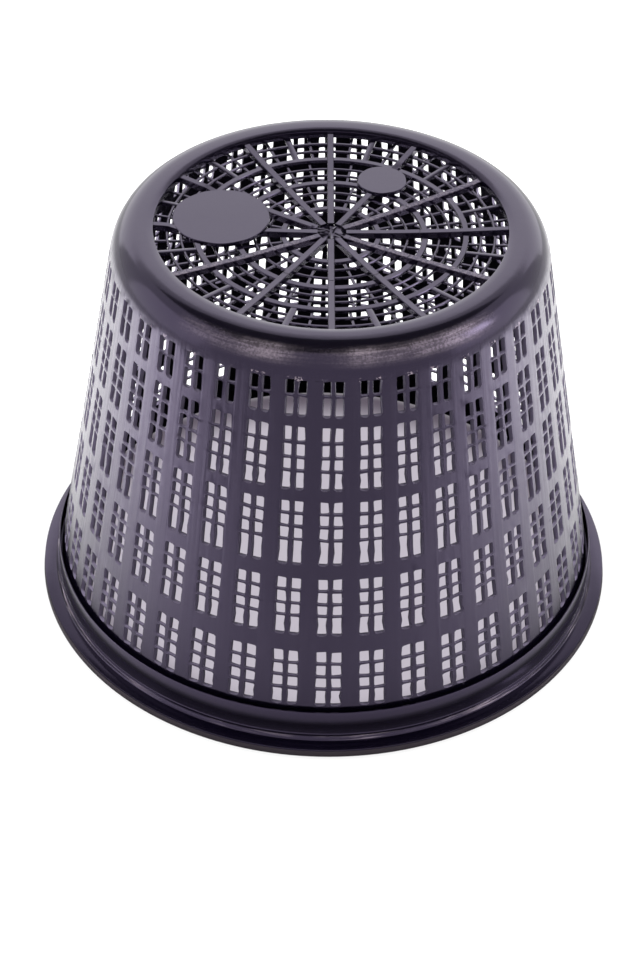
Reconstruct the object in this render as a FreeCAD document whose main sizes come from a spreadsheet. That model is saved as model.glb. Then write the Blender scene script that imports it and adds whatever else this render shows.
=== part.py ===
import FreeCAD, Part
import os
import Sketcher
from FreeCAD import Placement, Rotation, Vector

# Pond planting basket: one piece of black polypropylene, moulded with its mouth
# down in this frame. The mouth's rim stands on z = 0, the base grille is on top,
# and the axis of the basket is Z. Lengths are in millimetres, angles in degrees.

doc = FreeCAD.newDocument("PlantingBasket")

# The driving sizes. Radii are measured from the axis, heights from the rim's face.
SIZES = [
    ("height", 154.5, "rim face to the crest of the shoulder"),
    ("wall_radius", 104.1, "outer wall, carried down to the rim face"),
    ("wall_taper", 10.4, "lean of the wall from the vertical"),
    ("wall_thickness", 1.6, "wall and shoulder"),
    ("shoulder_round", 11.0, "outer radius of the shoulder"),
    ("shoulder_bevels", 4, "bevels that make up that round on a flat panel"),
    ("inner_bevels", 2, "bevels of its inner side"),
    ("opening_radius", 62.2, "round opening that the grille fills"),
    ("skirt_thickness", 2.0, "hoop that the grille hangs in"),
    ("hoop_bottom", 151.2, "lower edge of that hoop"),
    ("rim_radius", 110.0, "outer edge of the rim"),
    ("rim_depth", 3.3, "outer band of the rim"),
    ("rim_draft", 0.5, "lean of the outer band"),
    ("rim_web", 1.6, "thickness of the flat part of the rim"),
    ("rim_band", 1.6, "thickness of the outer band"),
    ("step_radius", 104.8, "small step inside the rim's flat"),
    ("step_depth", 1.8, "height of that step"),
    ("step_slope", 0.9, "how far the step leans in"),
    ("collar_top", 15.5, "free edge of the collar round the wall"),
    ("collar_radius", 103.3, "outer radius of that edge"),
    ("collar_thickness", 0.7, "thickness of the collar"),
    ("groove_bottom", 7.5, "floor of the groove between collar and wall"),
    ("groove_floor_width", 0.3, "width of that floor"),
    ("wall_sectors", 10, "equal sectors of the wall"),
    ("sector_columns", 4, "columns of windows in a sector"),
    ("column_turn", 1.53, "turn of the columns about the axis"),
    ("bar_width", 1.9, "upright bar in the middle of a column"),
    ("window_reach", 4.75, "half width of a column at the rim face"),
    ("window_narrowing", 0.0103, "loss of that half width per mm of height"),
    ("row_a_low", 17.0, "first row of windows, lower edge"),
    ("row_a_high", 39.4, "first row, upper edge"),
    ("row_b_low", 46.2, "second row"),
    ("row_b_high", 68.9, "second row"),
    ("row_c_low", 74.4, "third row"),
    ("row_c_high", 98.9, "third row"),
    ("row_d_low", 103.3, "fourth row"),
    ("row_d_high", 126.8, "fourth row"),
    ("row_e_low", 130.8, "fifth row, next to the shoulder"),
    ("row_e_high", 143.6, "fifth row"),
    ("spoke_pairs", 6, "spokes of the grille, two in line"),
    ("grille_turn", 0.9, "turn of the grille about the axis"),
    ("spoke_width", 2.4, "width of a spoke"),
    ("spoke_edge", 153.4, "top of a spoke where it meets the hoop"),
    ("spoke_waist", 151.6, "top of a spoke at the middle ring"),
    ("spoke_hub", 151.0, "top of a spoke at the hub"),
    ("spoke_depth", 3.0, "depth of a spoke"),
    ("short_spoke_width", 2.1, "short spoke between two spokes"),
    ("short_spoke_rise", 1.2, "how much higher a short spoke ends at the hoop"),
    ("outer_level", 151.3, "top of the outer ring and the short spokes"),
    ("middle_level", 150.1, "top of the middle ring"),
    ("inner_level", 149.8, "top of the inner ring"),
    ("outer_ring", 47.4, "radius of the outer ring"),
    ("middle_ring", 33.1, "radius of the middle ring"),
    ("inner_ring", 16.8, "radius of the inner ring"),
    ("ring_width", 2.1, "width of a ring"),
    ("ring_depth", 1.2, "depth of the rings and the short spokes"),
    ("hub_radius", 4.8, "level patch where the spokes meet"),
    ("large_disc_radius", 17.4, "large blank disc"),
    ("large_disc_x", -38.9, "its centre"),
    ("large_disc_y", 6.4, "its centre"),
    ("small_disc_radius", 9.0, "small blank disc"),
    ("small_disc_distance", 37.4, "its centre, from the axis along a spoke"),
    ("disc_top", 152.1, "upper face of both discs"),
    ("disc_thickness", 1.4, "thickness of both discs"),
]

sheet = doc.addObject("Spreadsheet::Sheet", "Sizes")
for row, (alias, value, note) in enumerate(SIZES, start=1):
    sheet.set("A%d" % row, alias)
    sheet.set("B%d" % row, str(value))
    sheet.set("C%d" % row, note)
    sheet.setAlias("B%d" % row, alias)
doc.recompute()


def size(alias):
    """The expression that reads one cell of the sheet."""
    return "Sizes.%s" % alias


def number(expression):
    """The present value of an expression."""
    return float(sheet.evalExpression(expression))


def origin_of(body, role):
    """A plane or an axis of a body's own origin."""
    return next(item for item in body.Origin.OriginFeatures if item.Role == role)


def new_sketch(body, name, plane):
    sketch = body.newObject("Sketcher::SketchObject", name)
    sketch.AttachmentSupport = (origin_of(body, plane), [""])
    sketch.MapMode = "FlatFace"
    return sketch


def turn_about_axis(sketch, expression):
    """Turn an upright sketch about the basket's axis."""
    sketch.AttachmentOffset = Placement(Vector(), Rotation(Vector(0, 1, 0), number(expression)))
    sketch.setExpression("AttachmentOffset.Rotation.Angle", expression)


def pin(sketch, geometry, point, across, up):
    """Hold one point of the sketch at two expressions."""
    for kind, axis, expression in (("DistanceX", -2, across), ("DistanceY", -1, up)):
        if expression == "0":
            sketch.addConstraint(Sketcher.Constraint("PointOnObject", geometry, point, axis))
            continue
        value = number(expression)
        index = sketch.addConstraint(Sketcher.Constraint(kind, -1, 1, geometry, point, value))
        sketch.setExpression("Constraints[%d]" % index, expression)


def outline(sketch, corners):
    """A closed outline of straight lines through corners given as (across, up)."""
    points = [Vector(number(across), number(up), 0) for across, up in corners]
    lines = [sketch.addGeometry(Part.LineSegment(start, end))
             for start, end in zip(points, points[1:] + points[:1])]
    for line, following, (across, up) in zip(lines, lines[1:] + lines[:1], corners):
        sketch.addConstraint(Sketcher.Constraint("Coincident", line, 2, following, 1))
        pin(sketch, line, 1, across, up)


def add(body, kind, name, profile):
    """A feature made from a sketch, as the body's tip."""
    feature = body.newObject("PartDesign::" + kind, name)
    feature.Profile = profile
    body.Tip = feature
    return feature


def thicken(body, name, profile, width):
    """A pad that stands out by half its width on each side of its sketch."""
    pad = add(body, "Pad", name, profile)
    pad.Midplane = True
    pad.setExpression("Length", width)
    doc.recompute()
    return pad


def turned(body, name, corners):
    """A closed section turned once round the axis."""
    section = new_sketch(body, name + "Section", "XZ_Plane")
    outline(section, corners)
    revolution = add(body, "Revolution", name, section)
    revolution.ReferenceAxis = (section, ["V_Axis"])
    revolution.Angle = 360.0
    doc.recompute()
    return revolution


def repeat_round(body, name, originals, step, count):
    """Copies round the axis, of some features or, with none named, of the whole body."""
    pattern = body.newObject("PartDesign::PolarPattern", name)
    if originals:
        pattern.Originals = originals
    else:
        pattern.TransformMode = "Whole shape"
    pattern.Axis = (origin_of(body, "Z_Axis"), [""])
    pattern.Mode = "Spacing"
    pattern.Refine = bool(originals)
    pattern.setExpression("Offset", step)
    pattern.setExpression("Occurrences", count)
    body.Tip = pattern
    doc.recompute()
    return pattern


# Wall and shoulder: flat panels, one for each column of windows, mitred together.
# A panel's middle lies as far inside the true round as its mitres lie outside it.
wall = doc.addObject("PartDesign::Body", "Wall")
column_step = "(360 / (Sizes.wall_sectors * Sizes.sector_columns))"
panel_fit = "((1 + cos(%s / 2)) / 2)" % column_step
centre_up = "(Sizes.height - Sizes.shoulder_round)"
centre_out = ("(Sizes.wall_radius - (%s * sin(Sizes.wall_taper) + Sizes.shoulder_round)"
              " / cos(Sizes.wall_taper))" % centre_up)


def wall_at(up):
    """Outer radius of the wall at a height."""
    return "(Sizes.wall_radius - (%s) * tan(Sizes.wall_taper))" % up


def round_corner(radius, bevels, step):
    """A corner of the shoulder's round after some of its bevels, from the wall upwards."""
    turn = "(Sizes.wall_taper + %d * (90 - Sizes.wall_taper) / %s)" % (step, bevels)
    return ("(%s + %s * cos(%s))" % (centre_out, radius, turn),
            "(%s + %s * sin(%s))" % (centre_up, radius, turn))


inner_wall_foot = "(Sizes.wall_radius - Sizes.wall_thickness / cos(Sizes.wall_taper))"
inner_round = "(Sizes.shoulder_round - Sizes.wall_thickness)"
hoop_outside = "(Sizes.opening_radius + Sizes.skirt_thickness)"
outer_steps = range(int(number(size("shoulder_bevels"))) + 1)
inner_steps = range(int(number(size("inner_bevels"))), -1, -1)
panel_line = [(inner_wall_foot, "0"), (size("wall_radius"), "0")]
panel_line += [round_corner(size("shoulder_round"), size("shoulder_bevels"), step)
               for step in outer_steps]
panel_line += [
    (size("opening_radius"), size("height")),
    (size("opening_radius"), size("hoop_bottom")),
    (hoop_outside, size("hoop_bottom")),
]
panel_line += [round_corner(inner_round, size("inner_bevels"), step) for step in inner_steps]
panel_section = new_sketch(wall, "PanelSection", "XZ_Plane")
turn_about_axis(panel_section, size("column_turn"))
outline(panel_section, [("(%s * %s)" % (across, panel_fit), up) for across, up in panel_line])
half_panel = "(Sizes.rim_radius * tan(%s / 2))" % column_step
thicken(wall, "Panel", panel_section, "3 * %s" % half_panel)

# The panel's two ends are mitred on planes through the axis.
full_volume = wall.Shape.Volume
mitres = new_sketch(wall, "Mitres", "XY_Plane")
mitre_turn = number(size("column_turn"))
mitres.AttachmentOffset = Placement(Vector(), Rotation(Vector(0, 0, 1), mitre_turn))
mitres.setExpression("AttachmentOffset.Rotation.Angle", size("column_turn"))
for side in ("", "-"):
    outline(mitres, [
        ("0", "0"),
        (size("rim_radius"), side + half_panel),
        (size("rim_radius"), "%s2 * %s" % (side, half_panel)),
        ("0", "%s2 * %s" % (side, half_panel)),
    ])
mitre = add(wall, "Pocket", "Mitre", mitres)
mitre.Midplane = True
mitre.setExpression("Length", "3 * Sizes.height")
doc.recompute()
if not wall.Shape.Volume < full_volume:
    raise RuntimeError("The mitres cut nothing.")

# Windows: in each column a pair of slots for each row, cut outwards from the axis.
windows = new_sketch(wall, "WindowPair", "XZ_Plane")
turn_about_axis(windows, "Sizes.column_turn + 90")
half_bar = "(Sizes.bar_width / 2)"


def column_edge(up):
    """Half width of a column of windows at a height."""
    return "(Sizes.window_reach - Sizes.window_narrowing * %s)" % up


for letter in "abcde":
    low = size("row_%s_low" % letter)
    high = size("row_%s_high" % letter)
    for side in ("", "-"):
        outline(windows, [
            (side + half_bar, low),
            (side + column_edge(low), low),
            (side + column_edge(high), high),
            (side + half_bar, high),
        ])
uncut = wall.Shape.Volume
column = add(wall, "Pocket", "WindowColumn", windows)
column.Reversed = True
column.setExpression("Length", size("rim_radius"))
doc.recompute()
if not wall.Shape.Volume < uncut:
    raise RuntimeError("The windows cut nothing.")
repeat_round(wall, "SectorColumns", [], column_step, size("sector_columns"))
repeat_round(wall, "WholeWall", [], "(360 / Sizes.wall_sectors)", size("wall_sectors"))

# Rim: a stepped flange and an upstanding collar, with a groove next to the wall.
rim = doc.addObject("PartDesign::Body", "Rim")
rim_root = "(Sizes.wall_radius - Sizes.wall_thickness / 2)"
groove_side = "(%s + Sizes.groove_floor_width)" % wall_at(size("groove_bottom"))
turned(rim, "RimRing", [
    (rim_root, "(Sizes.rim_depth - Sizes.rim_web)"),
    ("(Sizes.rim_radius - Sizes.rim_band)", "(Sizes.rim_depth - Sizes.rim_web)"),
    ("(Sizes.rim_radius - Sizes.rim_band)", "0"),
    (size("rim_radius"), "0"),
    ("(Sizes.rim_radius - Sizes.rim_draft)", size("rim_depth")),
    (size("step_radius"), size("rim_depth")),
    ("(Sizes.step_radius - Sizes.step_slope)", "(Sizes.rim_depth + Sizes.step_depth)"),
    (size("collar_radius"), size("collar_top")),
    ("(Sizes.collar_radius - Sizes.collar_thickness)", size("collar_top")),
    (groove_side, size("groove_bottom")),
    ("(%s - Sizes.wall_thickness / 2)" % wall_at(size("groove_bottom")), size("groove_bottom")),
])

# Grille: bars on edge across the whole opening, each of them two spokes in line.
# Their tops fall to the middle ring and then gently to a level patch at the hub.
grille = doc.addObject("PartDesign::Body", "Grille")
spoke_step = "(180 / Sizes.spoke_pairs)"
hoop_middle = "(Sizes.opening_radius + Sizes.skirt_thickness / 2)"


def bar(name, turn, corners, width):
    """A bar on edge: its side view on a plane through the axis, thickened both ways."""
    side_view = new_sketch(grille, name + "Side", "XZ_Plane")
    turn_about_axis(side_view, turn)
    outline(side_view, corners)
    return thicken(grille, name, side_view, width)


def underside(top, depth):
    """The height of a rib's lower edge under its upper one."""
    return "(%s - %s)" % (top, size(depth))


spoke = bar("Spoke", size("grille_turn"), [
    ("-" + hoop_middle, underside(size("spoke_edge"), "spoke_depth")),
    ("-" + size("middle_ring"), underside(size("spoke_waist"), "spoke_depth")),
    ("-" + size("hub_radius"), underside(size("spoke_hub"), "spoke_depth")),
    (size("hub_radius"), underside(size("spoke_hub"), "spoke_depth")),
    (size("middle_ring"), underside(size("spoke_waist"), "spoke_depth")),
    (hoop_middle, underside(size("spoke_edge"), "spoke_depth")),
    (hoop_middle, size("spoke_edge")),
    (size("opening_radius"), size("spoke_edge")),
    (size("middle_ring"), size("spoke_waist")),
    (size("hub_radius"), size("spoke_hub")),
    ("-" + size("hub_radius"), size("spoke_hub")),
    ("-" + size("middle_ring"), size("spoke_waist")),
    ("-" + size("opening_radius"), size("spoke_edge")),
    ("-" + hoop_middle, size("spoke_edge")),
], size("spoke_width"))
repeat_round(grille, "Spokes", [spoke], spoke_step, size("spoke_pairs"))

# Rings of the grille, one at each third of the spokes.
for name in ("outer", "middle", "inner"):
    inside = "(Sizes.%s_ring - Sizes.ring_width / 2)" % name
    outside = "(Sizes.%s_ring + Sizes.ring_width / 2)" % name
    level = size(name + "_level")
    turned(grille, name.capitalize() + "Ring", [
        (inside, underside(level, "ring_depth")),
        (outside, underside(level, "ring_depth")),
        (outside, level),
        (inside, level),
    ])

# Short spokes stand midway between the spokes, and rise from the outer ring to the hoop.
short_spoke_end = "(Sizes.outer_level + Sizes.short_spoke_rise)"
short_spoke = bar("ShortSpoke", "Sizes.grille_turn + %s / 2" % spoke_step, [
    (size("outer_ring"), underside(size("outer_level"), "ring_depth")),
    (hoop_middle, underside(short_spoke_end, "ring_depth")),
    (hoop_middle, short_spoke_end),
    (size("outer_ring"), size("outer_level")),
], size("short_spoke_width"))
repeat_round(grille, "ShortSpokes", [short_spoke], spoke_step, "2 * Sizes.spoke_pairs")

# The two blank discs lie on the grille, the small one over a spoke.
small_disc_turn = "(2 * %s + Sizes.grille_turn)" % spoke_step
for name, across, up in (
        ("large", size("large_disc_x"), size("large_disc_y")),
        ("small", "(Sizes.small_disc_distance * cos(%s))" % small_disc_turn,
         "(Sizes.small_disc_distance * sin(%s))" % small_disc_turn)):
    disc_outline = new_sketch(grille, name.capitalize() + "DiscOutline", "XY_Plane")
    disc_bottom = "Sizes.disc_top - Sizes.disc_thickness"
    disc_outline.AttachmentOffset = Placement(Vector(0, 0, number(disc_bottom)), Rotation())
    disc_outline.setExpression("AttachmentOffset.Base.z", disc_bottom)
    radius = size(name + "_disc_radius")
    centre = Vector(number(across), number(up), 0)
    edge = disc_outline.addGeometry(Part.Circle(centre, Vector(0, 0, 1), number(radius)))
    index = disc_outline.addConstraint(Sketcher.Constraint("Radius", edge, number(radius)))
    disc_outline.setExpression("Constraints[%d]" % index, radius)
    pin(disc_outline, edge, 3, across, up)
    disc = add(grille, "Pad", name.capitalize() + "Disc", disc_outline)
    disc.setExpression("Length", size("disc_thickness"))
    doc.recompute()

# Wall, rim and grille are one moulding.
basket = doc.addObject("Part::MultiFuse", "basket")
basket.Label = "basket"
basket.Shapes = [wall, rim, grille]
basket.Refine = False
doc.recompute()

# Every feature has to be sound before anything is written.
for item in doc.Objects:
    if "Invalid" in item.State or "Error" in item.State:
        raise RuntimeError("%s failed: %s" % (item.Name, item.State))
if basket.Shape.isNull() or not basket.Shape.isValid() or len(basket.Shape.Solids) != 1:
    raise RuntimeError("The basket is not one sound solid.")

os.makedirs("parts", exist_ok=True)
basket.Shape.exportStep("parts/basket.step")
box = basket.Shape.BoundBox
print("basket: volume %.0f mm3, %d faces, box %.2f x %.2f x %.2f"
      % (basket.Shape.Volume, len(basket.Shape.Faces), box.XLength, box.YLength, box.ZLength))
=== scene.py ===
import math
import random

import bmesh
import bpy
from mathutils import Matrix, Vector


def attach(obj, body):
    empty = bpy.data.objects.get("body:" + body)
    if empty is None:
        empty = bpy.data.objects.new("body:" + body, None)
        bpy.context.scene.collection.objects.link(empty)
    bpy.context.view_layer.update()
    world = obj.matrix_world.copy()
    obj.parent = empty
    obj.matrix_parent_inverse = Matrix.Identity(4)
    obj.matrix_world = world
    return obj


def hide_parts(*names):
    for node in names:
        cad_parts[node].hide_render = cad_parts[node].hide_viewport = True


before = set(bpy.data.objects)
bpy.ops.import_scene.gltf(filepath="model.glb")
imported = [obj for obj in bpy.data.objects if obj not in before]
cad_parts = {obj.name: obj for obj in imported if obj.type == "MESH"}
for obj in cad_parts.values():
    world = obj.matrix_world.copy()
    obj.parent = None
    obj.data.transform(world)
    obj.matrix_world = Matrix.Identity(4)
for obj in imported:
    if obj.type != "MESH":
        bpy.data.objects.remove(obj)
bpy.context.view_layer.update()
MM = 0.001

# Camera: a long lens from above and in front, level but for a small roll.
# The photograph is 640 x 960, and the lens is given for its long side, against
# a sensor of 36 mm.
camera_distance = 643.1 * MM
camera_height = 576.4 * MM
look_down = math.radians(39.99)
look_left = math.radians(0.187)
roll = math.radians(1.140)
lens = 81.84

sight = Vector((-math.sin(look_left) * math.cos(look_down),
                math.cos(look_left) * math.cos(look_down), -math.sin(look_down)))
level_right = Vector((math.cos(look_left), math.sin(look_left), 0))
level_up = level_right.cross(sight)
camera_right = level_right * math.cos(roll) + level_up * math.sin(roll)
camera_up = -level_right * math.sin(roll) + level_up * math.cos(roll)

bpy.ops.object.camera_add(location=(0, -camera_distance, camera_height))
camera = bpy.context.object
camera.name = "camera"
camera.data.sensor_width = 36
camera.data.lens = lens
camera.data.clip_start = 0.05
camera.data.clip_end = 20
axes = Matrix((camera_right, camera_up, -sight)).transposed()
camera.rotation_euler = axes.to_euler()
bpy.context.scene.camera = camera

# The lattice wall, the shoulder and the flat of the base: one moulded skin of
# black polypropylene, thinner at the cross bars than at the uprights and the
# bands. It is laid out flat, cut, thickened and wrapped round the axis.
column_count = 40
column_pitch = 13.9                 # at mid height, where the flat skin has its true width
half_pitch = column_pitch / 2
middle_bar = 1.9
window_half_width = 4.05            # of a column at mid height
window_edge_at_foot = 4.75          # the same once it is wrapped round, at the wall's foot
window_edge_loss = 0.0103           # per mm of height above it
skin_depth = 1.05
upright_depth = 1.68
wall_foot_radius = 104.14
wall_lean = 0.1831                  # loss of radius per mm of height
groove_floor = 7.5
window_edges = (
    (17.0, 23.25, 24.2, 28.4, 29.45, 33.8, 34.7, 39.4),
    (46.2, 53.4, 54.25, 58.2, 59.1, 63.45, 64.4, 68.9),
    (74.4, 83.6, 84.4, 88.65, 89.55, 93.6, 94.55, 98.9),
    (103.3, 109.85, 110.8, 114.95, 115.9, 120.4, 121.5, 126.8),
    (130.75, 137.8, 138.7, 143.9),
)
shoulder_start = 144.0              # where the straight wall ends
shoulder_centre = (68.1, 140.5)
shoulder_half_axes = (10.0, 14.0)
shoulder_first_turn = 14.4          # degrees on that ellipse, where it meets the wall
shoulder_steps = 8
crest_height = 154.5
lip = ((65.0, 0.03), (62.75, 0.2), (62.35, 0.45), (62.2, 0.9))      # radius, drop from the crest
opening_radius = 62.2
hoop_bottom = 151.5
corner_round = 0.34
foot_corner_round = 0.9
edge_draft = 0.36                   # how far an opening's sides fall back towards its face
bar_edge_draft = 0.2
corner_scatter = 0.11
waist_scatter = 0.22
column_turn = math.radians(1.53)
near = 0.01                         # two places closer than this are the same


def edit(thing):
    """Opens an object's mesh in edit mode, alone and with nothing selected."""
    bpy.ops.object.select_all(action="DESELECT")
    thing.select_set(True)
    bpy.context.view_layer.objects.active = thing
    bpy.ops.object.mode_set(mode="EDIT")
    bpy.ops.mesh.select_mode(type="VERT")
    bpy.ops.mesh.select_all(action="DESELECT")
    return bmesh.from_edit_mesh(thing.data)


def pick_faces(thing, test):
    """Selects the faces of the open mesh that pass a test on their centre and normal."""
    mesh = bmesh.from_edit_mesh(thing.data)
    bpy.ops.mesh.select_mode(type="FACE")
    for face in mesh.faces:
        face.select_set(test(face.calc_center_median(), face.normal))
    bmesh.update_edit_mesh(thing.data)


def pick_edges(thing, test):
    """Selects the edges of the open mesh that pass a test on their two ends."""
    mesh = bmesh.from_edit_mesh(thing.data)
    bpy.ops.mesh.select_mode(type="EDGE")
    for edge in mesh.edges:
        edge.select_set(test(edge))
    bmesh.update_edit_mesh(thing.data)


def shoulder_stations():
    """The outer line from the straight wall over the shoulder to the hoop's foot."""
    line = []
    sweep = 90 - shoulder_first_turn
    for step in range(shoulder_steps + 1):
        turn = math.radians(shoulder_first_turn + sweep * step / shoulder_steps)
        line.append((shoulder_centre[0] + shoulder_half_axes[0] * math.cos(turn),
                     shoulder_centre[1] + shoulder_half_axes[1] * math.sin(turn)))
    line += [(radius, crest_height - drop) for radius, drop in lip]
    line.append((opening_radius, hoop_bottom))
    return line


outer_line = [(wall_foot_radius - wall_lean * groove_floor, groove_floor)]
outer_line += [(wall_foot_radius - wall_lean * shoulder_start, shoulder_start)]
outer_line += shoulder_stations()[1:]
station_of = [groove_floor, shoulder_start]
for before, after in zip(outer_line[1:], outer_line[2:]):
    station_of.append(station_of[-1] + math.dist(before, after))

# One column, laid flat: X across it, Z up it, and its back towards +Y.
bpy.ops.mesh.primitive_plane_add(size=1, rotation=(math.pi / 2, 0, 0))
wall = bpy.context.object
wall.name = "basket_wall"
bpy.ops.object.transform_apply(location=False, rotation=True, scale=True)
flat_height = station_of[-1] - groove_floor
for vertex in wall.data.vertices:
    vertex.co.x *= column_pitch
    vertex.co.z = groove_floor + (vertex.co.z + 0.5) * flat_height

edit(wall)
cuts = [((x, 0, 0), (1, 0, 0)) for x in (-window_half_width, -middle_bar / 2,
                                          middle_bar / 2, window_half_width)]
cuts += [((0, 0, z), (0, 0, 1)) for row in window_edges for z in row]
cuts += [((0, 0, z), (0, 0, 1)) for z in station_of[1:-1]]
waists = [(row[0] + row[1]) / 2 for row in window_edges[:-1]]
cuts += [((0, 0, z), (0, 0, 1)) for z in waists]
for place, direction in cuts:
    bpy.ops.mesh.select_all(action="SELECT")
    bpy.ops.mesh.bisect(plane_co=place, plane_no=direction)


def in_window(across, up):
    """Whether a place on the flat skin lies in one of the window's small openings."""
    if not middle_bar / 2 < abs(across) < window_half_width:
        return False
    return any(low < up < high for row in window_edges
               for low, high in zip(row[0::2], row[1::2]))


def in_thin_bar(across, up):
    """Whether it lies on a cross bar between two openings of the same window."""
    if not middle_bar / 2 < abs(across) < window_half_width:
        return False
    return any(low < up < high for row in window_edges
               for low, high in zip(row[1:-1:2], row[2:-1:2]))


pick_faces(wall, lambda place, normal: in_window(place.x, place.z))
bpy.ops.mesh.delete(type="FACE")
bpy.ops.object.mode_set(mode="OBJECT")
depth = wall.modifiers.new("depth", "SOLIDIFY")
depth.thickness = skin_depth
depth.offset = -1
depth.use_rim = True
bpy.ops.object.modifier_apply(modifier="depth")
back = max(vertex.co.y for vertex in wall.data.vertices)

# The uprights and the bands stand deeper inwards than the cross bars.
edit(wall)
pick_faces(wall, lambda place, normal: normal.y > 0.9 and not in_thin_bar(place.x, place.z))
bpy.ops.mesh.extrude_region_move(
    TRANSFORM_OT_translate={"value": (0, upright_depth - skin_depth, 0)})


def window_corner(edge, heights):
    """Whether an edge runs through the skin at an opening's corner at one of these heights."""
    a, b = (vertex.co for vertex in edge.verts)
    if abs(a.x - b.x) > near or abs(a.z - b.z) > near or abs(a.y - b.y) < 0.1:
        return False
    if max(a.y, b.y) > back + near or not middle_bar / 2 - near < abs(a.x) < half_pitch - 1:
        return False
    return any(abs(a.z - z) < near for z in heights)


# The openings' corners are round, most of all at the foot of each window.
feet = [row[0] for row in window_edges]
pick_edges(wall, lambda edge: window_corner(edge, feet))
bpy.ops.mesh.bevel(offset=foot_corner_round, offset_type="OFFSET", segments=2, affect="EDGES")
others = [z for row in window_edges for z in row[1:]]
pick_edges(wall, lambda edge: window_corner(edge, others))
bpy.ops.mesh.bevel(offset=corner_round, offset_type="OFFSET", segments=1, affect="EDGES")
front = min(vertex.co.y for vertex in bmesh.from_edit_mesh(wall.data).verts)

# The ends of the flat column are open, so that the columns join.
pick_faces(wall, lambda place, normal: abs(abs(place.x) - half_pitch) < near
           and abs(normal.x) > 0.9)
bpy.ops.mesh.delete(type="FACE")
bpy.ops.object.mode_set(mode="OBJECT")


def on_outer_line(station):
    """Radius, height and outward direction where the outer line has run so far."""
    index = 0
    while index < len(station_of) - 2 and station > station_of[index + 1]:
        index += 1
    (r0, z0), (r1, z1) = outer_line[index], outer_line[index + 1]
    share = (station - station_of[index]) / (station_of[index + 1] - station_of[index])

    def facing(i):
        (ra, za), (rb, zb) = outer_line[i], outer_line[i + 1]
        length = math.hypot(rb - ra, zb - za)
        return Vector(((zb - za) / length, (ra - rb) / length))

    here = facing(index)
    before = facing(index - 1) if index else here
    after = facing(index + 1) if index + 2 < len(outer_line) else here
    start = here if index == 1 else (before + here).normalized()
    end = here if index == 0 else (here + after).normalized()
    out = (start if index else here).lerp(end, share).normalized()
    return r0 + (r1 - r0) * share, z0 + (z1 - z0) * share, out


bpy.ops.object.select_all(action="DESELECT")
wall.select_set(True)
bpy.context.view_layer.objects.active = wall
copies = wall.modifiers.new("columns", "ARRAY")
copies.use_relative_offset = False
copies.use_constant_offset = True
copies.constant_offset_displace = (column_pitch, 0, 0)
copies.count = column_count
bpy.ops.object.modifier_apply(modifier="columns")

# No two openings are quite alike: each corner lies a little off its place, and
# the lowest opening of each window is pinched at the waist.
random.seed(7)
opening_lows = [low for row in window_edges for low in row[0::2]]
opening_highs = [high for row in window_edges for high in row[1::2]]
corner_shift = {
    (column, side, opening, outer, upper): (random.gauss(0, corner_scatter),
                                            random.gauss(0, corner_scatter))
    for column in range(column_count) for side in (-1, 1)
    for opening in range(len(opening_lows)) for outer in (0, 1) for upper in (0, 1)
}
pinch = {(column, side, row, outer): abs(random.gauss(0, waist_scatter))
         for column in range(column_count) for side in (-1, 1)
         for row in range(len(waists)) for outer in (0, 1)}


def opening_edge_shift(column, across, up):
    """How far a place on an opening's edge lies off its nominal place, across and up."""
    size = abs(across)
    if not middle_bar / 2 - near < size < window_half_width + near:
        return 0.0, 0.0
    side = 1 if across > 0 else -1
    outer = size > (middle_bar / 2 + window_half_width) / 2
    for row, waist in enumerate(waists):
        if abs(up - waist) < near:
            inwards = -side if outer else side
            return inwards * pinch[column, side, row, int(outer)], 0.0
    for opening, (low, high) in enumerate(zip(opening_lows, opening_highs)):
        if low - 0.3 < up < high + 0.3:
            return corner_shift[column, side, opening, int(outer), int(up > (low + high) / 2)]
    return 0.0, 0.0


def opening_draft(across, up):
    """How far the mould's draft moves an opening's outer edge, across and up."""
    size = abs(across)
    if not middle_bar / 2 - near < size < window_half_width + near:
        return 0.0, 0.0
    for low, high in zip(opening_lows, opening_highs):
        if low - near < up < high + near:
            half_wide = (window_half_width - middle_bar / 2) / 2
            sideways = (size - middle_bar / 2 - half_wide) / half_wide
            upwards = (up - (low + high) / 2) / ((high - low) / 2)
            return (math.copysign(1, across) * edge_draft * sideways ** 5,
                    bar_edge_draft * upwards ** 5)
    return 0.0, 0.0


mean_radius = column_count * column_pitch / (2 * math.pi)
for vertex in wall.data.vertices:
    column = math.floor(vertex.co.x / column_pitch + 0.5 - 1e-6)
    across = vertex.co.x - column * column_pitch
    station = vertex.co.z
    sideways, upwards = opening_edge_shift(column % column_count, across, station)
    if vertex.co.y - front < near:
        draft_across, draft_up = opening_draft(across, station)
        sideways += draft_across
        upwards += draft_up
    radius, height, out = on_outer_line(station)
    nominal = wall_foot_radius - wall_lean * min(station, shoulder_start)
    # A column keeps its bars' width and narrows only at its openings.
    growth = nominal / mean_radius
    pitch_here = column_pitch * growth
    edge_here = window_edge_at_foot - window_edge_loss * min(station, shoulder_start)
    size = abs(across)
    if size <= middle_bar / 2:
        moved = size
    elif size <= window_half_width:
        share = (size - middle_bar / 2) / (window_half_width - middle_bar / 2)
        moved = middle_bar / 2 + share * (edge_here - middle_bar / 2)
    else:
        share = (size - window_half_width) / (half_pitch - window_half_width)
        moved = edge_here + share * (pitch_here / 2 - edge_here)
    shifted = math.copysign(moved, across) + sideways
    angle = column * 2 * math.pi / column_count + shifted / nominal
    angle += column_turn - math.pi / 2
    deep = vertex.co.y - front
    radius -= deep * out.x
    height += upwards - deep * out.y
    vertex.co = (radius * math.cos(angle) * MM, radius * math.sin(angle) * MM, height * MM)
edit(wall)
bpy.ops.mesh.select_all(action="SELECT")
bpy.ops.mesh.remove_doubles(threshold=0.00002)
bpy.ops.mesh.normals_make_consistent(inside=False)
bpy.ops.object.mode_set(mode="OBJECT")

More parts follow.
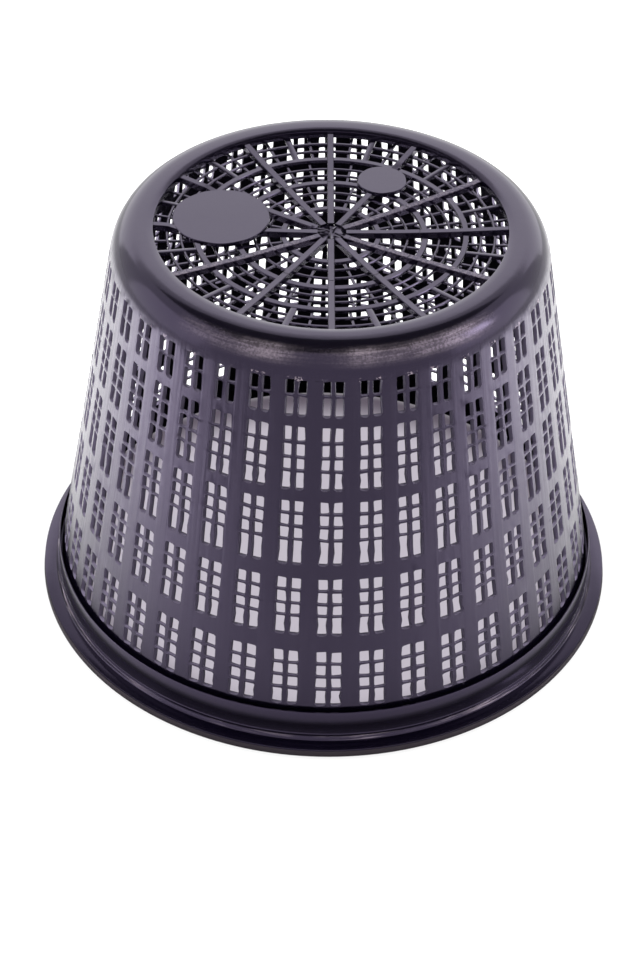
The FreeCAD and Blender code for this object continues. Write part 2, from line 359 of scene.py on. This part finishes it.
# The rim: a stepped flange with a thin upstanding collar round the wall's foot
# and a narrow groove between the two. It is moulded in one with the wall, and its
# section is spun round the axis here, as (radius, height).
rim_steps = 200
rim_line = (
    (102.3, 7.5), (103.05, 7.5), (102.62, 15.25), (102.75, 15.5), (103.1, 15.5),
    (103.26, 15.25), (103.58, 10.2), (103.6, 9.6), (103.46, 5.6), (103.7, 5.1),
    (104.3, 4.8), (104.62, 4.2), (104.8, 3.5), (105.0, 3.3), (109.05, 3.3),
    (109.38, 3.16), (109.5, 2.85), (109.84, 0.35), (109.72, 0.08), (109.5, 0.0),
    (108.35, 0.0), (108.2, 0.15), (108.1, 1.6), (104.8, 1.6), (104.6, 0.15),
    (104.45, 0.0), (102.75, 0.0), (102.52, 0.2), (101.1, 8.3), (102.3, 8.3),
)


def turned(name, line, steps):
    """A closed line of (radius, height) in mm, drawn point by point and spun about Z."""
    bpy.ops.mesh.primitive_plane_add(size=1)
    piece = bpy.context.object
    piece.name = name
    mesh = edit(piece)
    mesh.verts.ensure_lookup_table()
    for vertex in mesh.verts:
        vertex.select_set(vertex.index > 0)
    bmesh.update_edit_mesh(piece.data)
    bpy.ops.mesh.delete(type="VERT")
    mesh = bmesh.from_edit_mesh(piece.data)
    mesh.verts.ensure_lookup_table()
    mesh.verts[0].co = (line[0][0] * MM, 0, line[0][1] * MM)
    mesh.verts[0].select_set(True)
    bmesh.update_edit_mesh(piece.data)
    for (r0, z0), (r1, z1) in zip(line, line[1:]):
        bpy.ops.mesh.extrude_vertices_move(
            TRANSFORM_OT_translate={"value": ((r1 - r0) * MM, 0, (z1 - z0) * MM)})
    bpy.ops.mesh.select_all(action="SELECT")
    bpy.ops.mesh.edge_face_add()
    bpy.ops.mesh.delete(type="ONLY_FACE")
    bpy.ops.mesh.select_all(action="SELECT")
    bpy.ops.mesh.spin(steps=steps, angle=2 * math.pi, center=(0, 0, 0), axis=(0, 0, 1))
    bpy.ops.mesh.select_all(action="SELECT")
    bpy.ops.mesh.remove_doubles(threshold=0.00001)
    bpy.ops.mesh.normals_make_consistent(inside=False)
    bpy.ops.object.mode_set(mode="OBJECT")
    return piece


rim = turned("basket_rim", rim_line, rim_steps)

# The grille in the base, moulded in one with the hoop: twelve spokes, twelve
# short ones, three strong rings and six thin ones, all dished towards the hub,
# with finer ribs between them.
grille_turn = math.radians(0.9)
disc_top = 152.15
disc_places = ((-38.9, 6.4, 17.3), (18.1, 32.6, 9.0))
disc_clearance = 0.25
spoke_count = 12
spoke_depth = 2.3
strong_depth = 1.15
thin_depth = 0.7
hoop_overlap = 62.9
ring_steps = 96
ring_edge = 0.2
top_edge = 0.08                     # of a rib's broken edges, before it gets its size
hub_line = 151.0
dish_rise = 2.4
dish_radius = 62.0


def spoke_line(out):
    """The dished line that the spokes' tops follow, from the hub to the hoop."""
    return hub_line + dish_rise * (out / dish_radius) ** 2


def rib_top(angle, drop=0.0):
    """The top of a rib along its length, which dips where a disc lies over it."""
    def top_of(out):
        top = spoke_line(out) - drop
        for x, y, radius in disc_places:
            if math.dist((out * math.cos(angle), out * math.sin(angle)), (x, y)) < radius + 0.8:
                top = min(top, disc_top - disc_clearance)
        return top
    return top_of


rings = (
    # radius, width, drop of its top below the spokes' tops, depth
    (47.4, 2.1, 0.95, strong_depth),
    (33.1, 2.2, 1.35, strong_depth),
    (16.8, 2.0, 1.2, strong_depth),
    (57.5, 0.9, 1.25, thin_depth),
    (52.7, 0.9, 1.2, thin_depth),
    (42.0, 0.8, 1.5, thin_depth),
    (38.05, 0.8, 1.6, thin_depth),
    (27.0, 0.8, 1.5, thin_depth),
    (22.1, 0.75, 1.3, thin_depth),
)
pieces = [wall, rim]
for radius, width, drop, depth in rings:
    top = spoke_line(radius) - drop
    half = width / 2
    line = ((radius - half, top - depth), (radius - half, top - ring_edge),
            (radius - half + 0.15, top), (radius + half - 0.15, top),
            (radius + half, top - ring_edge), (radius + half, top - depth))
    pieces.append(turned("ring", line, ring_steps))


def bar(start, end, width, depth, top_of, angle, parts):
    """A rib on edge, from one radius to another, with broken top edges."""
    bpy.ops.mesh.primitive_cube_add(size=1)
    rib = bpy.context.object
    rib.name = "rib"
    edit(rib)
    for step in range(1, parts):
        bpy.ops.mesh.select_all(action="SELECT")
        bpy.ops.mesh.bisect(plane_co=(step / parts - 0.5, 0, 0), plane_no=(1, 0, 0))
    pick_edges(rib, lambda edge: all(vertex.co.z > 0.49 for vertex in edge.verts)
               and abs(edge.verts[0].co.y - edge.verts[1].co.y) < near)
    bpy.ops.mesh.bevel(offset=top_edge, offset_type="OFFSET", segments=1, affect="EDGES")
    bpy.ops.object.mode_set(mode="OBJECT")
    for vertex in rib.data.vertices:
        out = start + (vertex.co.x + 0.5) * (end - start)
        up = top_of(out) - (0.5 - vertex.co.z) * depth
        vertex.co = (out * MM, vertex.co.y * width * MM, up * MM)
    rib.data.transform(Matrix.Rotation(angle, 4, "Z"))
    return rib


def copies_round(rib, count):
    """Copies of a rib evenly round the axis, each with its own mesh."""
    made = [rib]
    for step in range(1, count):
        bpy.ops.object.select_all(action="DESELECT")
        rib.select_set(True)
        bpy.context.view_layer.objects.active = rib
        bpy.ops.object.duplicate()
        copy = bpy.context.object
        copy.data.transform(Matrix.Rotation(2 * math.pi * step / count, 4, "Z"))
        made.append(copy)
    return made


for spoke in range(spoke_count):
    angle = grille_turn + 2 * math.pi * spoke / spoke_count
    start = 4.6 + 0.9 * random.random()
    pieces.append(bar(start, hoop_overlap, 2.4, spoke_depth, rib_top(angle), angle, 20))
    angle += math.pi / spoke_count
    pieces.append(bar(48.2, hoop_overlap, 2.1, strong_depth, rib_top(angle, 1.15), angle, 3))
for start, end, turns, drop in ((47.4, hoop_overlap, (7.5, 22.5), 1.75),
                                (33.1, 47.4, (9.8, 20.2), 1.9),
                                (16.8, 33.1, (15,), 1.8)):
    for turn in turns:
        angle = grille_turn + math.radians(turn)
        pieces += copies_round(bar(start, end, 0.9, thin_depth,
                                   lambda out: spoke_line(out) - drop, angle, 3), spoke_count)

# The spokes end raggedly at the hub, where the moulding's gate was broken off: a
# low torn web of the same plastic with a few slivers of flash standing over it.
hub_radius = 5.4
hub_middle = 149.6
sliver_top = 150.6
slivers = (
    # degrees round the axis, start, end, rise over the slivers' common top
    (-28, 1.5, 8.5, 0.3),
    (155, 0.5, 7.5, 0.45),
    (172, 2.0, 6.5, 0.2),
    (-110, 1.0, 6.0, 0.1),
    (65, 1.5, 7.0, 0.2),
    (-65, 2.5, 6.0, 0.0),
)
bpy.ops.mesh.primitive_cylinder_add(vertices=24, radius=hub_radius, depth=1.0,
                                    end_fill_type="TRIFAN")
hub = bpy.context.object
hub.name = "hub"
edit(hub)
for thickness in (1.3, 1.3):
    pick_faces(hub, lambda place, normal: normal.z > 0.9)
    bpy.ops.mesh.inset(thickness=thickness)
bpy.ops.object.mode_set(mode="OBJECT")
for vertex in hub.data.vertices:
    if vertex.co.z > 0:
        vertex.co.x += random.uniform(-0.3, 0.3)
        vertex.co.y += random.uniform(-0.3, 0.3)
        vertex.co.z += random.uniform(-0.4, 0.5)
    vertex.co.z += hub_middle
    vertex.co *= MM
pieces.append(hub)
for turn, start, end, rise in slivers:
    pieces.append(bar(start, end, 0.4, 0.5, lambda out: sliver_top + rise + 0.25 * math.sin(out),
                      math.radians(turn), 6))


# Two blank discs, moulded in one with the grille, lie level on it: the large
# one at the left between two spokes and the small one over a spoke. Their edges
# are slightly uneven.
disc_thickness = 1.4
disc_edge = 0.22


def disc(name, centre, radius, top, thickness, unevenness, seed):
    """A level plate with a broken top edge and an outline that waves a little."""
    bpy.ops.mesh.primitive_cylinder_add(vertices=72, radius=radius * MM, depth=thickness * MM,
                                        location=(0, 0, 0))
    plate = bpy.context.object
    plate.name = name
    chance = random.Random(seed)
    waves = [(chance.randint(2, 9), chance.uniform(0, 6.28), chance.uniform(0.3, 1))
             for _ in range(5)]
    for vertex in plate.data.vertices:
        angle = math.atan2(vertex.co.y, vertex.co.x)
        swell = sum(size * math.sin(count * angle + phase) for count, phase, size in waves)
        vertex.co *= 1 + unevenness * swell / radius
    edit(plate)
    pick_edges(plate, lambda edge: all(vertex.co.z > 0 for vertex in edge.verts))
    bpy.ops.mesh.bevel(offset=disc_edge * MM, offset_type="OFFSET", segments=1, affect="EDGES")
    bpy.ops.object.mode_set(mode="OBJECT")
    plate.data.transform(Matrix.Translation(
        (centre[0] * MM, centre[1] * MM, (top - thickness / 2) * MM)))
    return plate


for name, (x, y, radius), unevenness, seed in (("large_disc", disc_places[0], 0.10, 3),
                                               ("small_disc", disc_places[1], 0.06, 5)):
    pieces.append(disc(name, (x, y), radius, disc_top, disc_thickness, unevenness, seed))

bpy.ops.object.select_all(action="DESELECT")
for piece in pieces:
    piece.select_set(True)
bpy.context.view_layer.objects.active = wall
bpy.ops.object.join()
basket = bpy.context.object
basket.name = "planting_basket"
bpy.ops.object.shade_smooth_by_angle(angle=math.radians(35))


# The finish of the whole moulding: glossy black polypropylene with a violet cast,
# faint flow lines down the wall, painted light in pale lilac where the openings are
# cut through, rubbed grey low on the shoulder and on some spokes, painted highlights
# in that grey on the rim's step and over the highest openings, and a paler line low
# on the rim's outer edge.
glossy_black = (0.0016, 0.0011, 0.0038, 1)
flow_black = (0.0060, 0.0048, 0.0088, 1)
painted_light_lilac = (0.120, 0.104, 0.150, 1)
wear_and_highlight_grey = (0.33, 0.275, 0.31, 1)
painted_step_shade_black = (0.0002, 0.0002, 0.0003, 1)
gloss_tint = (0.74, 0.60, 1.0, 1)
rubbed_spoke_degrees = (-149.1, -29.1, 30.9)
step_line_radius = 0.0312


class Flow:
    """A socket of the material, on which Python's operators add Math nodes."""

    tree = None

    def __init__(self, socket):
        self.socket = socket

    @classmethod
    def node(cls, kind, settings=None, inputs=None, output=0):
        """A node of one kind, with its settings first and then its inputs."""
        made = cls.tree.nodes.new(kind)
        for name, value in (settings or {}).items():
            setattr(made, name, value)
        for key, value in (inputs or {}).items():
            if isinstance(value, Flow):
                cls.tree.links.new(value.socket, made.inputs[key])
            else:
                made.inputs[key].default_value = value
        return Flow(made.outputs[output])

    def maths(self, operation, other=0.0, swap=False):
        pair = (other, self) if swap else (self, other)
        return Flow.node("ShaderNodeMath", {"operation": operation}, dict(enumerate(pair)))

    def __add__(self, other):
        return self.maths("ADD", other)

    __radd__ = __add__

    def __mul__(self, other):
        return self.maths("MULTIPLY", other)

    __rmul__ = __mul__

    def __sub__(self, other):
        return self.maths("SUBTRACT", other)

    def __rsub__(self, other):
        return self.maths("SUBTRACT", other, swap=True)

    def between(self, low, high):
        """0 below low, 1 above high, and smooth from one to the other."""
        return Flow.node("ShaderNodeMapRange", {"interpolation_type": "SMOOTHSTEP"},
                         {0: self, 1: low, 2: high, 3: 0.0, 4: 1.0})

    def size(self):
        """The value without its sign."""
        return self.maths("ABSOLUTE")

    def colours(self, none, full):
        """One colour or socket where this is 0, another where it is 1."""
        return Flow.node("ShaderNodeMix", {"data_type": "RGBA"},
                         {0: self, 6: none, 7: full}, output=2)


plastic = bpy.data.materials.new("black_polypropylene")
plastic.use_nodes = True
Flow.tree = plastic.node_tree
shader = Flow.tree.nodes["Principled BSDF"]
place = Flow.node("ShaderNodeTexCoord", output=3)
split = Flow.node("ShaderNodeSeparateXYZ", inputs={0: place}).socket.node
along, depth_in, height = (Flow(output) for output in split.outputs)
turn = depth_in.maths("ARCTAN2", along)
radius = (along * along + depth_in * depth_in).maths("SQRT")


def noise(vector, scale, detail=4.0):
    """A cloudy pattern, about 0.5 in the middle."""
    return Flow.node("ShaderNodeTexNoise", inputs={"Vector": vector, "Scale": scale,
                                                   "Detail": detail, "Roughness": 0.6})


def laid_out(round_it, up, out):
    """A pattern's coordinates round the basket, up it and out from its axis."""
    return Flow.node("ShaderNodeCombineXYZ", inputs={0: turn * round_it, 1: height * up,
                                                     2: radius * out})


mottle = noise(place, 60.0, 5.0)
grain = noise(place, 1100.0)
on_wall = height.between(0.0150, 0.0170) * (1 - height.between(0.1440, 0.1500))
on_grille = 1 - radius.between(0.0615, 0.0622)
# The flow lines run down the wall, as the plastic did, and the brushed ones run
# round the shoulder and the rim, as they were rubbed.
flow = noise(laid_out(16.0, 5.0, 0.0), 3.2) * on_wall
brushed = noise(laid_out(1.2, 260.0, 260.0), 4.0)
patches = noise(laid_out(1.0, 0.0, 0.0), 2.6, 2.0)

# Where the basket was rubbed: a pale band low on the shoulder in front and the
# spokes that stand highest. The step of the rim gets a painted highlight with scuffs
# in it, and the rim's outer edge a paler line low down.
in_front = turn.between(-2.35, -2.05) * (1 - turn.between(-0.95, -0.68))
off_middle = 0.22 + 0.78 * (turn + 1.62).size().between(0.05, 0.20)
shoulder_rub = (height.between(0.1475, 0.1515) * (1 - height.between(0.1522, 0.1540))
                * radius.between(0.069, 0.0715) * in_front * off_middle)
shoulder_rub = (shoulder_rub * (0.35 + 0.65 * patches.between(0.40, 0.60))
                * (0.45 + 0.55 * brushed.between(0.40, 0.62))
                * (0.50 + 0.50 * grain.between(0.38, 0.62)))
# A painted highlight along the rim's step, broken by scuffs.
rim_step_highlight_and_scuffs = (height.between(0.0034, 0.0036) * (1 - height.between(0.0048, 0.0052))
           * radius.between(0.1040, 0.1043) * brushed.between(0.45, 0.65)
           * patches.between(0.42, 0.62))
rubbed_spokes = 0.0
for degrees in rubbed_spoke_degrees:
    angle = math.radians(degrees)
    across = along * math.sin(angle) - depth_in * math.cos(angle)
    ahead = along * math.cos(angle) + depth_in * math.sin(angle)
    on_spoke = (1 - across.size().between(0.0012, 0.0013)) * ahead.between(0.004, 0.010)
    rubbed_spokes = on_spoke + rubbed_spokes
above_spoke = height - (0.1509 + 0.624 * radius * radius)
spoke_rub = (rubbed_spokes * on_grille * above_spoke.between(-0.0001, 0.0)
             * noise(place, 700.0).between(0.40, 0.62))
# The rim's outer edge is paler low down.
pale_outer_edge_low = radius.between(0.1093, 0.1096) * (1 - height.between(0.0022, 0.0030))

# What the mould left: shallow flutes beside the windows. Painted on as well: a fine
# groove round the grille's spokes, painted black as shade on the riser of a small step
# there, painted light on the faces where the openings are cut through, and a ragged
# painted highlight along the top edge of the highest openings.
# A fine groove round the spokes at one radius, painted black as the shade on the riser of a
# small step there.
painted_step_shade_line = ((1 - (radius - step_line_radius).size().between(0.00012, 0.00026))
           * above_spoke.between(-0.0004, -0.0002) * (1 - above_spoke.between(0.0002, 0.0003)))
columns_per_radian = column_count / (2 * math.pi)
from_window = ((turn * columns_per_radian + (100.5 - column_turn * columns_per_radian))
               .maths("FRACT") - 0.5).size()
over_window = 1 - from_window.between(0.28, 0.34)
fluted = from_window.between(0.31, 0.36) * on_wall
below_skin = wall_foot_radius * MM - wall_lean * height - radius
# Painted light: the faces just under the outer skin, where the openings are cut through, get a
# pale lilac as if lit.
painted_light_cut_face = (below_skin.between(0.00005, 0.00012) * (1 - below_skin.between(0.0014, 0.0016))
            * height.between(0.0150, 0.0165) * (1 - height.between(0.1440, 0.1450)))
# Painted highlight: a ragged pale line along the top edge of the highest openings.
top_opening_highlight = (over_window * height.between(0.1434, 0.1438) * (1 - height.between(0.1446, 0.1454))
         * noise(place, 1300.0).between(0.54, 0.60)
         * noise(laid_out(3.0, 0.0, 0.0), 4.0, 1.0).between(0.5, 0.6))
# Wear and painted highlights, mixed in one grey.
wear_and_highlight = shoulder_rub + 0.7 * rim_step_highlight_and_scuffs + 0.30 * spoke_rub + 1.3 * top_opening_highlight + 0.16 * pale_outer_edge_low

clean = flow.between(0.45, 0.70).colours(glossy_black, flow_black)
with_painted_light_cuts = painted_light_cut_face.colours(clean, painted_light_lilac)
worn_and_lit = wear_and_highlight.colours(with_painted_light_cuts, wear_and_highlight_grey)
base = painted_step_shade_line.colours(worn_and_lit, painted_step_shade_black)
Flow.tree.links.new(base.socket, shader.inputs["Base Color"])
rough = 0.10 + 0.10 * mottle + 0.08 * on_wall + 0.35 * wear_and_highlight + 0.4 * painted_step_shade_line
Flow.tree.links.new(rough.socket, shader.inputs["Roughness"])
shader.inputs["Specular Tint"].default_value = gloss_tint
shader.inputs["IOR"].default_value = 1.6
relief = (mottle * 0.5 + flow * 1.3 + brushed * (0.10 * (1 - on_grille)) + grain * 0.05
          + fluted * 0.5)
bump = Flow.node("ShaderNodeBump", inputs={"Strength": 0.30, "Distance": 0.0004,
                                           "Height": relief - painted_step_shade_line * 1.5})
Flow.tree.links.new(bump.socket, shader.inputs["Normal"])
basket.data.materials.clear()
basket.data.materials.append(plastic)

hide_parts("basket")
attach(basket, "root")

# The table, not part of the object: a white sheet that the basket stands on. It
# shows white to the camera and in reflections. Inside the basket that glow carries
# painted shade: greyer, and darker towards the wall's foot, where little light comes.
painted_shade_inside = (0.52, 0.48, 0.55, 1)
painted_shade_at_foot = (0.12, 0.10, 0.13, 1)
white_outside = (0.95, 0.95, 0.95, 1)
bpy.ops.mesh.primitive_plane_add(size=8, location=(0, 0, -0.0004))
table = bpy.context.object
table.name = "table"
white = bpy.data.materials.new("white_table")
white.use_nodes = True
Flow.tree = white.node_tree
spot = Flow.node("ShaderNodeTexCoord", output=3)
from_axis = Flow.node("ShaderNodeVectorMath", {"operation": "LENGTH"}, {0: spot}, output=1)
# Painted shadow: the sheet's own colour is dark under the basket and just round its rim.
paper_with_painted_shadow = from_axis.between(0.113, 0.129).colours((0.06, 0.06, 0.06, 1), (0.55, 0.55, 0.55, 1))
sheet = Flow.node("ShaderNodeBsdfDiffuse", inputs={"Color": paper_with_painted_shadow})
rays = Flow.node("ShaderNodeLightPath").socket.node.outputs
seen = Flow(rays["Is Camera Ray"])
mirrored = Flow(rays["Is Glossy Ray"]).maths("MAXIMUM", Flow(rays["Is Transmission Ray"]))
# Painted shadow in reflections: the glow that reflections see fades out towards the basket.
glow_outside_painted_shadow = from_axis.between(0.105, 0.190)
# Painted shade in the glow the camera sees: grey inside the basket, darker towards the wall's
# foot.
painted_shade_floor = from_axis.between(0.078, 0.100).colours(painted_shade_inside, painted_shade_at_foot)
shown_with_painted_shade = from_axis.between(0.100, 0.112).colours(painted_shade_floor, white_outside)
shine = Flow.node("ShaderNodeVectorMath", {"operation": "SCALE"}, {
    0: shown_with_painted_shade, "Scale": seen.maths("MAXIMUM", 0.5 * mirrored * glow_outside_painted_shadow)})
glow = Flow.node("ShaderNodeEmission", inputs={"Color": shine, "Strength": 1.0})
lit = Flow.node("ShaderNodeAddShader", inputs={0: sheet, 1: glow})
Flow.tree.links.new(lit.socket, Flow.tree.nodes["Material Output"].inputs["Surface"])
table.data.materials.append(white)

# A dark card overhead, not part of the object, which keeps the gloss of the
# base and the shoulder from turning grey.
bpy.ops.mesh.primitive_plane_add(size=2, location=(0, 0.1, 1.6))
ceiling = bpy.context.object
ceiling.name = "ceiling"
dark = bpy.data.materials.new("dark_ceiling")
dark.use_nodes = True
Flow.tree = dark.node_tree
card = Flow.node("ShaderNodeBsdfDiffuse", inputs={"Color": (0.12, 0.12, 0.12, 1)})
Flow.tree.links.new(card.socket, Flow.tree.nodes["Material Output"].inputs["Surface"])
ceiling.data.materials.append(dark)

# The light: a white surround, a wide soft box behind and one at each side, a
# small lamp at the right, and two lamps with a narrow beam over the table, which
# leave no glint of their own.
wide = 180
beam = 70
world = bpy.context.scene.world or bpy.data.worlds.new("surround")
bpy.context.scene.world = world
world.use_nodes = True
surround = world.node_tree.nodes["Background"]
surround.inputs["Color"].default_value = (1, 1, 1, 1)
surround.inputs["Strength"].default_value = 1.0

for name, at, aim, size, watts, spread in (
        ("soft_box_behind", (0, 2.0, 0.95), (0, 0, 0.95), (4.0, 1.75), 26, wide),
        ("soft_box_left", (-1.6, -0.1, 0.7), (0, -0.1, 0.7), (1.6, 1.2), 4.8, wide),
        ("soft_box_right", (1.6, -0.1, 0.7), (0, -0.1, 0.7), (1.6, 1.2), 5.5, wide),
        ("lamp_right", (1.1, -0.2, 0.65), (0, 0, 0.15), (0.25, 0.25), 1.6, wide),
        ("beam_left", (-0.42, 0.0, 0.6), (-0.42, 0.0, 0), (0.3, 0.3), 4.6, beam),
        ("beam_right", (0.42, 0.02, 0.6), (0.42, 0.02, 0), (0.3, 0.3), 3.9, beam)):
    bpy.ops.object.light_add(type="AREA", location=at)
    lamp = bpy.context.object
    lamp.name = name
    lamp.data.shape = "RECTANGLE"
    lamp.data.size, lamp.data.size_y = size
    lamp.data.energy = watts
    lamp.data.spread = math.radians(spread)
    lamp.visible_glossy = spread == wide
    lamp.rotation_euler = (Vector(at) - Vector(aim)).to_track_quat("Z", "Y").to_euler()

bpy.context.scene.view_settings.view_transform = "Standard"
